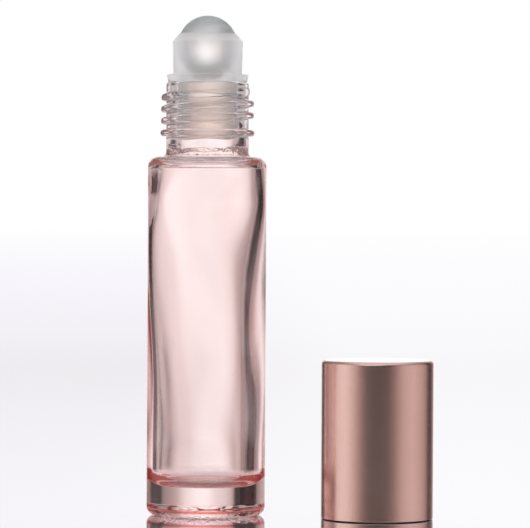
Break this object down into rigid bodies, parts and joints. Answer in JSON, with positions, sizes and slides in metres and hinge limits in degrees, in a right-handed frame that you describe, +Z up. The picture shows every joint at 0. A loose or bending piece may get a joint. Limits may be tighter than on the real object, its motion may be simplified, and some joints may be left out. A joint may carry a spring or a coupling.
{
  "type": "roll-on bottle",
  "caption": "Small round glass roll-on bottle with a ball in a plug-in plastic housing, and a metal screw cap standing open end down beside it.",
  "frame": {"origin": "centre of the bottle's standing ring, on the surface that it stands on", "axes": "+Z up along the bottle's axis; +X to the right, towards the cap; -Y towards the viewer of the picture"},
  "size_m": [0.048, 0.0253, 0.0841],
  "materials": {
    "pink_glass": "clear pink, polished",
    "natural_plastic": "natural translucent, fine matt",
    "ball_plastic": "natural white, smooth",
    "rose_gold_metal": "satin anodised rose gold",
    "white_plastic": "moulded white"
  },
  "bodies": {
    "bottle": {"glass_bottle": "pink_glass"},
    "insert": {"roller_housing": "natural_plastic"},
    "ball": {"roller_ball": "ball_plastic"},
    "cap": {"cap_shell": "rose_gold_metal", "cap_liner": "white_plastic"}
  },
  "joints": [
    {"name": "insert_pull", "type": "slide", "parent": "bottle", "child": "insert", "axis": [0, 0, 1], "range_m": [0, 0.012]},
    {"name": "ball_roll", "type": "hinge", "parent": "insert", "child": "ball", "pos_m": [0, 0, 0.0791], "axis": [1, 0, 0], "continuous": true},
    {"name": "cap_lift", "type": "slide", "parent": "bottle", "child": "cap", "axis": [0, 0, 1], "range_m": [0, 0.075]}
  ]
}
